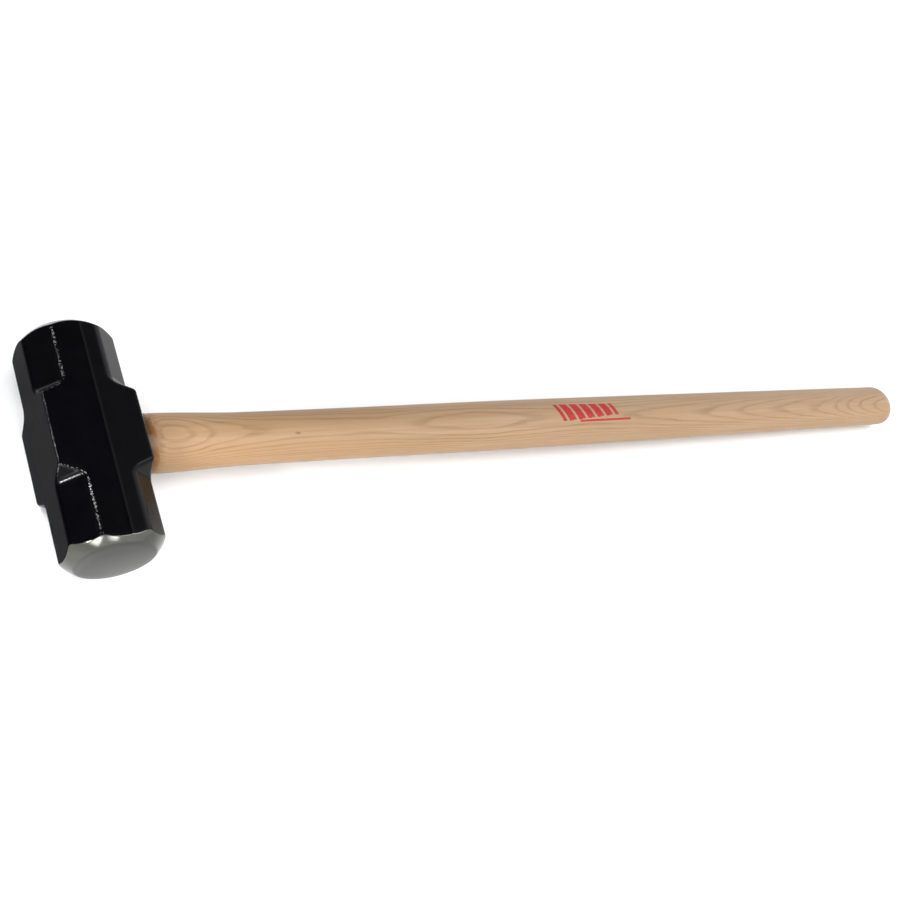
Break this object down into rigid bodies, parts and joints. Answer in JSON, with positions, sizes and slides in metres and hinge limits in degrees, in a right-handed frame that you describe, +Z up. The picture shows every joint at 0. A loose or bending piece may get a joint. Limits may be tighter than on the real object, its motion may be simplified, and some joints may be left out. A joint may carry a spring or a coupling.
{
  "type": "sledge hammer",
  "caption": "Double-faced sledge hammer: black chamfered forged head with bright turned striking faces, on a straight oval varnished wooden handle wedged into the eye.",
  "frame": {"origin": "on the surface the tool lies on, under the middle of the tool's own bounding box", "axes": "+X along the handle from the head towards the butt, +Y along the head's striking axis, +Z up from the surface; the tool lies on one cheek and on the butt, tipped 0.89 degrees so that both touch"},
  "size_m": [0.9144, 0.168, 0.0604],
  "materials": {
    "head_enamel": "gloss",
    "handle_wood": "satin",
    "wedge_wood": "matte",
    "wedge_steel": "satin",
    "resin": "gloss"
  },
  "bodies": {
    "root": {"head": "head_enamel", "handle": "handle_wood", "wooden_wedge": "wedge_wood", "steel_wedge": "wedge_steel", "resin_collar": "resin"}
  },
  "joints": []
}
